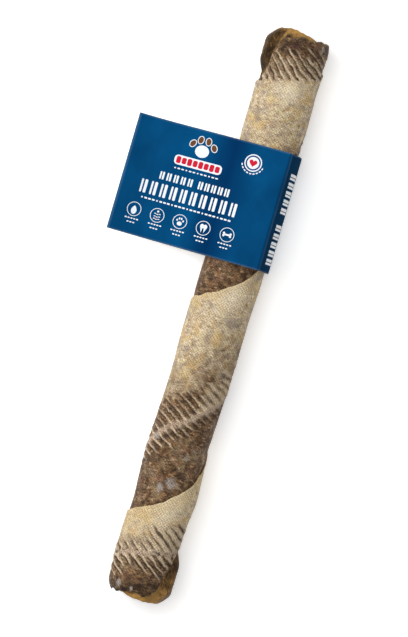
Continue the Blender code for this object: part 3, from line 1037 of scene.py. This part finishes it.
def wrap_material():
    """Dried fish skin, from pale sand to dark brown with its tone, which also holds painted shade
    along wrap edges; the grooves beside the fin roots are painted dark as painted shade.
    """
    nodes = new_material("fish_skin_wrap")
    skin, tone = nodes.kept("skin", "Vector"), nodes.kept("tone")
    drawn_out = (1.0, 3.2, 1.0)
    clouds = nodes.noise(skin, 1.0, 3.0)
    mottle = nodes.noise(skin, 2.6, 6.0, 0.60, 0.1, shift=3.1)
    strokes = nodes.noise(skin, 2.4, 5.0, 0.62, 0.3, degrees=41, stretch=drawn_out, shift=5.3)
    more_strokes = nodes.noise(skin, 2.4, 5.0, 0.62, 0.3, degrees=-47, stretch=drawn_out, shift=9.1)
    grain = nodes.noise(skin, 12.0, 3.0, 0.7, shift=7.7)
    ochre = nodes.noise(skin, 0.9, 4.0, 0.56, 0.2, degrees=20, shift=12.3)
    violet = nodes.noise(skin, 0.9, 4.0, 0.58, 0.2, degrees=50, shift=21.9)
    rust = nodes.noise(skin, 2.0, 5.0, 0.62, 0.2, degrees=30, shift=33.3)
    stains = nodes.noise(skin, 1.7, 3.0, 0.6, 0.4, degrees=35, stretch=(1, 1.4, 1), shift=71.3)
    flecks = nodes.noise(skin, 5.0, 2.0, 0.5, 0.2, degrees=15, stretch=(1, 1.6, 1), shift=41.7)
    patches = nodes.noise(skin, 1.7, 3.0, 0.55, 0.3, degrees=25, shift=53.9)
    weave = nodes.rescale(nodes.noise(skin, 1.3, 2.0, shift=63.1), 0.40, 0.60, 0.45, 1.15)
    hatch = nodes.times(hatching(nodes, skin), weave)
    scales = scale_rows(nodes, skin)
    strokes = nodes.maths("MULTIPLY_ADD", more_strokes, 0.5, nodes.times(strokes, 0.5))
    blend = nodes.maths("MULTIPLY_ADD", strokes, 0.6, nodes.times(mottle, 0.4))

    pale_skin = nodes.colours(
        blend, (0.38, 134, 110, 84), (0.45, 182, 158, 125), (0.50, 204, 183, 150),
        (0.55, 218, 200, 169), (0.62, 242, 228, 198))
    pale_skin = nodes.coats(
        pale_skin,
        (ochre, 0.50, 0.62, 0.62, (210, 174, 110)),
        (violet, 0.52, 0.64, 0.66, (154, 138, 127)),
        (tone, 0.0, -0.4, 0.8, (240, 224, 194)),
        (stains, 0.54, 0.66, 0.36, (148, 124, 118)),
        (stains, 0.46, 0.36, 0.40, (226, 214, 160)))
    dark_skin = nodes.colours(
        blend, (0.39, 34, 24, 18), (0.45, 74, 53, 37), (0.50, 110, 83, 57),
        (0.55, 144, 114, 79), (0.61, 192, 167, 134))
    dark_skin = nodes.coats(
        dark_skin,
        (rust, 0.51, 0.64, 0.45, (136, 94, 58)),
        (violet, 0.46, 0.36, 0.35, (128, 92, 82)),
        (rust, 0.49, 0.38, 0.55, (86, 68, 58)),
        (flecks, 0.60, 0.70, 0.55, (178, 152, 122)))
    dark_skin = nodes.shade(dark_skin, nodes.rescale(patches, 0.36, 0.64, 0.66, 1.26))
    dark_skin = nodes.shade(dark_skin, nodes.rescale(tone, 0.95, 1.35, 1.0, 0.56))
    darkness = nodes.plus(tone, nodes.rescale(clouds, 0.3, 0.7, -0.14, 0.14), clamp=True)
    colour = nodes.mix(nodes.rescale(darkness, 0.05, 0.85), pale_skin, dark_skin)

    # The gap's near-black mark is painted shade in the grooves beside the fin roots.
    for key, speckle, mark in (
            ("lip", nodes.rescale(grain, 0.28, 0.62, 0.18, 0.60), (217, 189, 136)),
            ("band", nodes.rescale(grain, 0.3, 0.6, 0.35, 1.0), (196, 172, 150)),
            ("shaded_gap", 0.90, (50, 35, 26)),
            ("crest", nodes.rescale(grain, 0.25, 0.55, 0.55, 1.1), (212, 190, 160)),
            ("spot", nodes.rescale(mottle, 0.35, 0.55, 0.5, 0.95), (168, 158, 148))):
        share = nodes.times(nodes.kept(key), speckle, clamp=True)
        colour = nodes.mix(share, colour, srgb(*mark))
    pits = nodes.times(scales, nodes.rescale(clouds, 0.38, 0.60, 0.10, 0.30))
    colour = nodes.shade(colour, nodes.maths("SUBTRACT", 1.05, pits))
    colour = nodes.shade(colour, nodes.rescale(hatch, -1.3, 1.3, 0.73, 1.25))
    colour = nodes.shade(colour, nodes.rescale(grain, 0.32, 0.68, 0.62, 1.40))
    fine = nodes.plus(nodes.times(scales, -0.5), nodes.times(grain, 1.2))
    fine = nodes.plus(nodes.plus(fine, nodes.times(hatch, 0.15)), mottle)
    return nodes.finish(
        Base_Color=colour, Roughness=nodes.rescale(mottle, 0.3, 0.7, 0.46, 0.66),
        Normal=nodes.bump(fine, 0.00065, 0.9), Specular_IOR_Level=0.13)


def hatching(nodes, skin):
    """Fine lines crossing at a slant, as the scale pockets leave them: -2 to 2."""
    waves = []
    for slant, pitch in ((41, 1.45), (-47, 1.70)):
        place = nodes.turned(skin, slant)
        across = nodes.add("ShaderNodeSeparateXYZ", place).outputs[0]
        bend = nodes.times(nodes.noise(place, 2.5, 3.0), 9.0)
        phase = nodes.maths("MULTIPLY_ADD", across, math.tau * 10 / pitch, bend)
        waves.append(nodes.maths("SINE", phase))
    return nodes.plus(*waves)


def scale_rows(nodes, skin):
    """Small pits in slanting rows, where the fish's scales sat: 0 between them, 1 inside."""
    cells = nodes.add("ShaderNodeTexVoronoi", settings={"feature": "F1", "distance": "EUCLIDEAN"},
                      Vector=nodes.turned(skin, 40, (1.0, 1.25, 1.0)), Scale=8.5, Randomness=0.28)
    return nodes.rescale(cells.outputs["Distance"], 0.10, 0.45, 1.0, 0.0)


def golden_material(name, brightness):
    """Golden brown skin, fibrous, with brighter rims and torn edges."""
    nodes = new_material(name)
    skin = nodes.kept("skin", "Vector")
    blotches = nodes.noise(skin, 3.2, 5.0, 0.65, 0.5)
    strands = nodes.noise(skin, 4.2, 5.0, 0.65, 0.4, degrees=-22, stretch=(5, 1, 1))
    streaks = nodes.rescale(strands, 0.32, 0.68, -0.58, 0.52)
    colour = nodes.colours(
        nodes.plus(nodes.kept("tone"), streaks, clamp=True),
        (0.0, 164, 126, 72), (0.35, 120, 90, 52), (0.65, 90, 66, 38), (1.0, 50, 36, 22))
    colour = nodes.coats(colour, (blotches, 0.50, 0.63, 0.65, (80, 57, 36)))
    glow = nodes.times(nodes.kept("torn"), nodes.rescale(strands, 0.44, 0.60, 0.0, 0.8))
    rim = nodes.times(nodes.kept("lip"), nodes.rescale(blotches, 0.38, 0.58, 0.1625, 0.65))
    colour = nodes.mix(glow, colour, srgb(206, 160, 84))
    colour = nodes.mix(rim, colour, srgb(186, 142, 80))
    return nodes.finish(
        Base_Color=nodes.shade(colour, brightness),
        Roughness=nodes.rescale(blotches, 0.3, 0.7, 0.42, 0.62),
        Normal=nodes.bump(strands, 0.0008, 0.9), Specular_IOR_Level=0.08)


def printed_material():
    """Blue print on card, with painted shade in a soft band of the front and a darker blue on the
    spine as painted shade, and rubbed pale at the edges.
    """
    nodes = new_material("printed_card")
    skin, front = nodes.kept("skin", "Vector"), nodes.kept("front")
    cloud = nodes.noise(skin, 0.35, 2.0)
    fibre = nodes.noise(skin, 60.0, 3.0, 0.6)
    across = nodes.add("ShaderNodeSeparateXYZ", skin).outputs[0]
    # Painted shade: the front darkens in a soft band where the card bends down beside the stick.
    from_shade_band = nodes.maths("ABSOLUTE", nodes.plus(across, 2.1))
    painted_shade_band = nodes.times(nodes.rescale(from_shade_band, 0.0, 1.8, 0.8, 0.0), front)
    colour = nodes.mix(nodes.rescale(cloud, 0.3, 0.7), srgb(2, 60, 102), srgb(3, 73, 119))
    colour = nodes.mix(painted_shade_band, colour, srgb(0, 38, 80))
    # Painted shade: the spine, which faces away from the light, takes a darker blue than the front.
    colour = nodes.mix(front, srgb(0, 50, 84), colour)
    colour = nodes.shade(colour, nodes.rescale(fibre, 0.3, 0.7, 0.94, 1.06))
    rubbed = nodes.times(nodes.kept("worn"), nodes.rescale(fibre, 0.42, 0.56, 0.0, 0.5))
    duller = nodes.rescale(front, 0.0, 1.0, 0.4, 0.0)
    return nodes.finish(
        Base_Color=nodes.mix(rubbed, colour, srgb(120, 150, 178)),
        Roughness=nodes.plus(duller, nodes.rescale(fibre, 0.3, 0.7, 0.46, 0.56)),
        Normal=nodes.bump(fibre, 0.00004, 0.6), Specular_IOR_Level=0.01)


def paper_material():
    """The card's unprinted white side."""
    nodes = new_material("card_paper")
    skin = nodes.kept("skin", "Vector")
    fibre = nodes.noise(skin, 30.0, 4.0, 0.65, degrees=10, stretch=(4, 1, 1))
    colour = nodes.mix(nodes.rescale(fibre, 0.3, 0.7), srgb(214, 212, 204), srgb(238, 236, 230))
    return nodes.finish(Base_Color=colour, Roughness=0.8, Normal=nodes.bump(fibre, 0.00005, 0.7))


def ink_material(name, bright, dull):
    """Ink that the card's fibres dull in places."""
    nodes = new_material(name)
    fibre = nodes.noise(nodes.kept("skin", "Vector"), 40.0, 3.0, 0.6)
    return nodes.finish(
        Base_Color=nodes.mix(nodes.rescale(fibre, 0.35, 0.65), dull, bright),
        Roughness=nodes.rescale(fibre, 0.3, 0.7, 0.46, 0.56), Specular_IOR_Level=0.01)


def adhesive_material():
    """Cloudy, slightly glossy tape."""
    nodes = new_material("adhesive_tape")
    place = nodes.add("ShaderNodeTexCoord").outputs["Object"]
    cloud = nodes.noise(place, 400.0, 3.0)
    colour = nodes.mix(nodes.rescale(cloud, 0.3, 0.7), srgb(222, 216, 196), srgb(236, 232, 218))
    return nodes.finish(Base_Color=colour, Roughness=nodes.rescale(cloud, 0.3, 0.7, 0.22, 0.34))


# ---- putting it together

def settle(item, body, slot, *nodes):
    """Puts a piece on its body and hides the CAD nodes that it replaces; slot is not used."""
    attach(item, body)
    if nodes:
        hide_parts(*nodes)


WRAPS = (
    # name, look, upper edge, lower edge, depths between which the mesh is fine, seed
    ("top", top_look, None, UPPER_EDGE, (0, 40), 100),
    ("upper", upper_look, UPPER_EDGE, MIDDLE_EDGE, (66, 112), 200),
    ("middle", middle_look, MIDDLE_EDGE, BOTTOM_EDGE, (68, 118), 300),
    ("bottom", bottom_look, BOTTOM_EDGE, None, (10, 70), 400),
)
CORES = (
    # bore, turns, angle at which they start, half length
    (13.3, 1.75, 20.0, 193.0),
    (9.3, 1.75, 150.0, 194.5),
    (5.3, 1.75, -80.0, 192.5),
    (2.1, 1.25, 60.0, 194.0),
)


def make_stick():
    skin = wrap_material()
    golden = golden_material("fish_skin_liner", 1.0)
    brown = golden_material("fish_skin_core", 0.72)
    for name, look, upper, lower, fine, seed in WRAPS:
        item = make_wrap(f"wrap_skin_{name}_rolled", look, upper, lower, fine, seed, skin)
        settle(item, "stick", "fish_skin_wrap", f"wrap_skin_{name}")
    settle(make_liner(600, golden), "stick", "fish_skin_liner", "liner_skin")
    for number, (bore, turns, start, half_length) in enumerate(CORES, start=1):
        seed = 700 + 10 * number
        item = make_core(number, bore, turns, start, half_length, seed, brown)
        settle(item, "stick", "fish_skin_core", f"core_skin_{number}")


# ---- stage

def make_floor():
    """A white studio floor that glows a little, so that shadows on it stay faint."""
    bpy.ops.mesh.primitive_plane_add(size=30)
    floor = bpy.context.object
    floor.name = "floor"
    nodes = new_material("studio_floor")
    place = nodes.add("ShaderNodeTexCoord").outputs["Object"]
    shade = nodes.rescale(nodes.noise(place, 0.5, 2.0), 0.3, 0.7)
    floor.data.materials.append(nodes.finish(
        Base_Color=nodes.mix(shade, (0.93, 0.93, 0.93, 1), (0.95, 0.95, 0.95, 1)),
        Roughness=0.9, Emission_Color=(1, 1, 1, 1), Emission_Strength=0.36))


def add_area_light(name, place, size, power):
    """A round lamp aimed at the stick's middle."""
    data = bpy.data.lights.new(name, "AREA")
    data.shape = "DISK"
    data.size = size
    data.energy = power
    light = bpy.data.objects.new(name, data)
    light.location = place
    direction = Vector((AXIS_X * MM, 0, 0.02)) - Vector(place)
    light.rotation_euler = direction.to_track_quat("-Z", "Y").to_euler()
    bpy.context.scene.collection.objects.link(light)


def make_world():
    """Soft light from all round, weaker from the right; white behind the floor."""
    world = bpy.data.worlds.new("studio")
    nodes = Nodes(world)
    direction = nodes.add("ShaderNodeTexCoord").outputs["Generated"]
    brighter_side = (-0.80, 0.25, 0.55)
    toward = nodes.add("ShaderNodeVectorMath", direction, brighter_side,
                       settings={"operation": "DOT_PRODUCT"}).outputs["Value"]
    strength = nodes.rescale(toward, -0.6, 0.9, 0.03, 0.62)
    lit = nodes.add("ShaderNodeBackground", (1, 1, 1, 1), strength).outputs[0]
    plain = nodes.add("ShaderNodeBackground", (0.95, 0.95, 0.95, 1)).outputs[0]
    seen = nodes.add("ShaderNodeLightPath").outputs["Is Camera Ray"]
    chosen = nodes.add("ShaderNodeMixShader", seen, lit, plain).outputs[0]
    nodes.put(nodes.tree.nodes["World Output"].inputs["Surface"], chosen)
    bpy.context.scene.world = world


def make_camera():
    """Looks straight down on the stick, turned so that its +Y end leans to the right."""
    lens, sensor = 300.0, 36.0
    lean = math.radians(16.76)
    view_height = 428.7 * MM
    aim = Vector((AXIS_X - 8.8, -4.5, AXIS_Z)) * MM
    data = bpy.data.cameras.new("camera")
    data.lens = lens
    data.sensor_width = sensor
    data.clip_end = 100
    camera = bpy.data.objects.new("camera", data)
    camera.location = aim + Vector((0, 0, view_height * lens / sensor))
    camera.rotation_euler = (0, 0, lean)
    bpy.context.scene.collection.objects.link(camera)
    bpy.context.scene.camera = camera
    bpy.context.scene.view_settings.view_transform = "Standard"


make_camera()
make_stick()
card_path = label_path()
card_normals = outward_normals(card_path)
make_label(card_path, card_normals, printed_material(), paper_material())
print_front(card_path, card_normals)
print_spine(card_path, card_normals)
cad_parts["adhesive_strip"].material_slots[0].material = adhesive_material()
make_floor()
add_area_light("key", (-1.15, 0.36, 1.00), 0.9, 8)
add_area_light("top", (-0.30, 0.10, 1.88), 1.6, 19.5)
make_world()
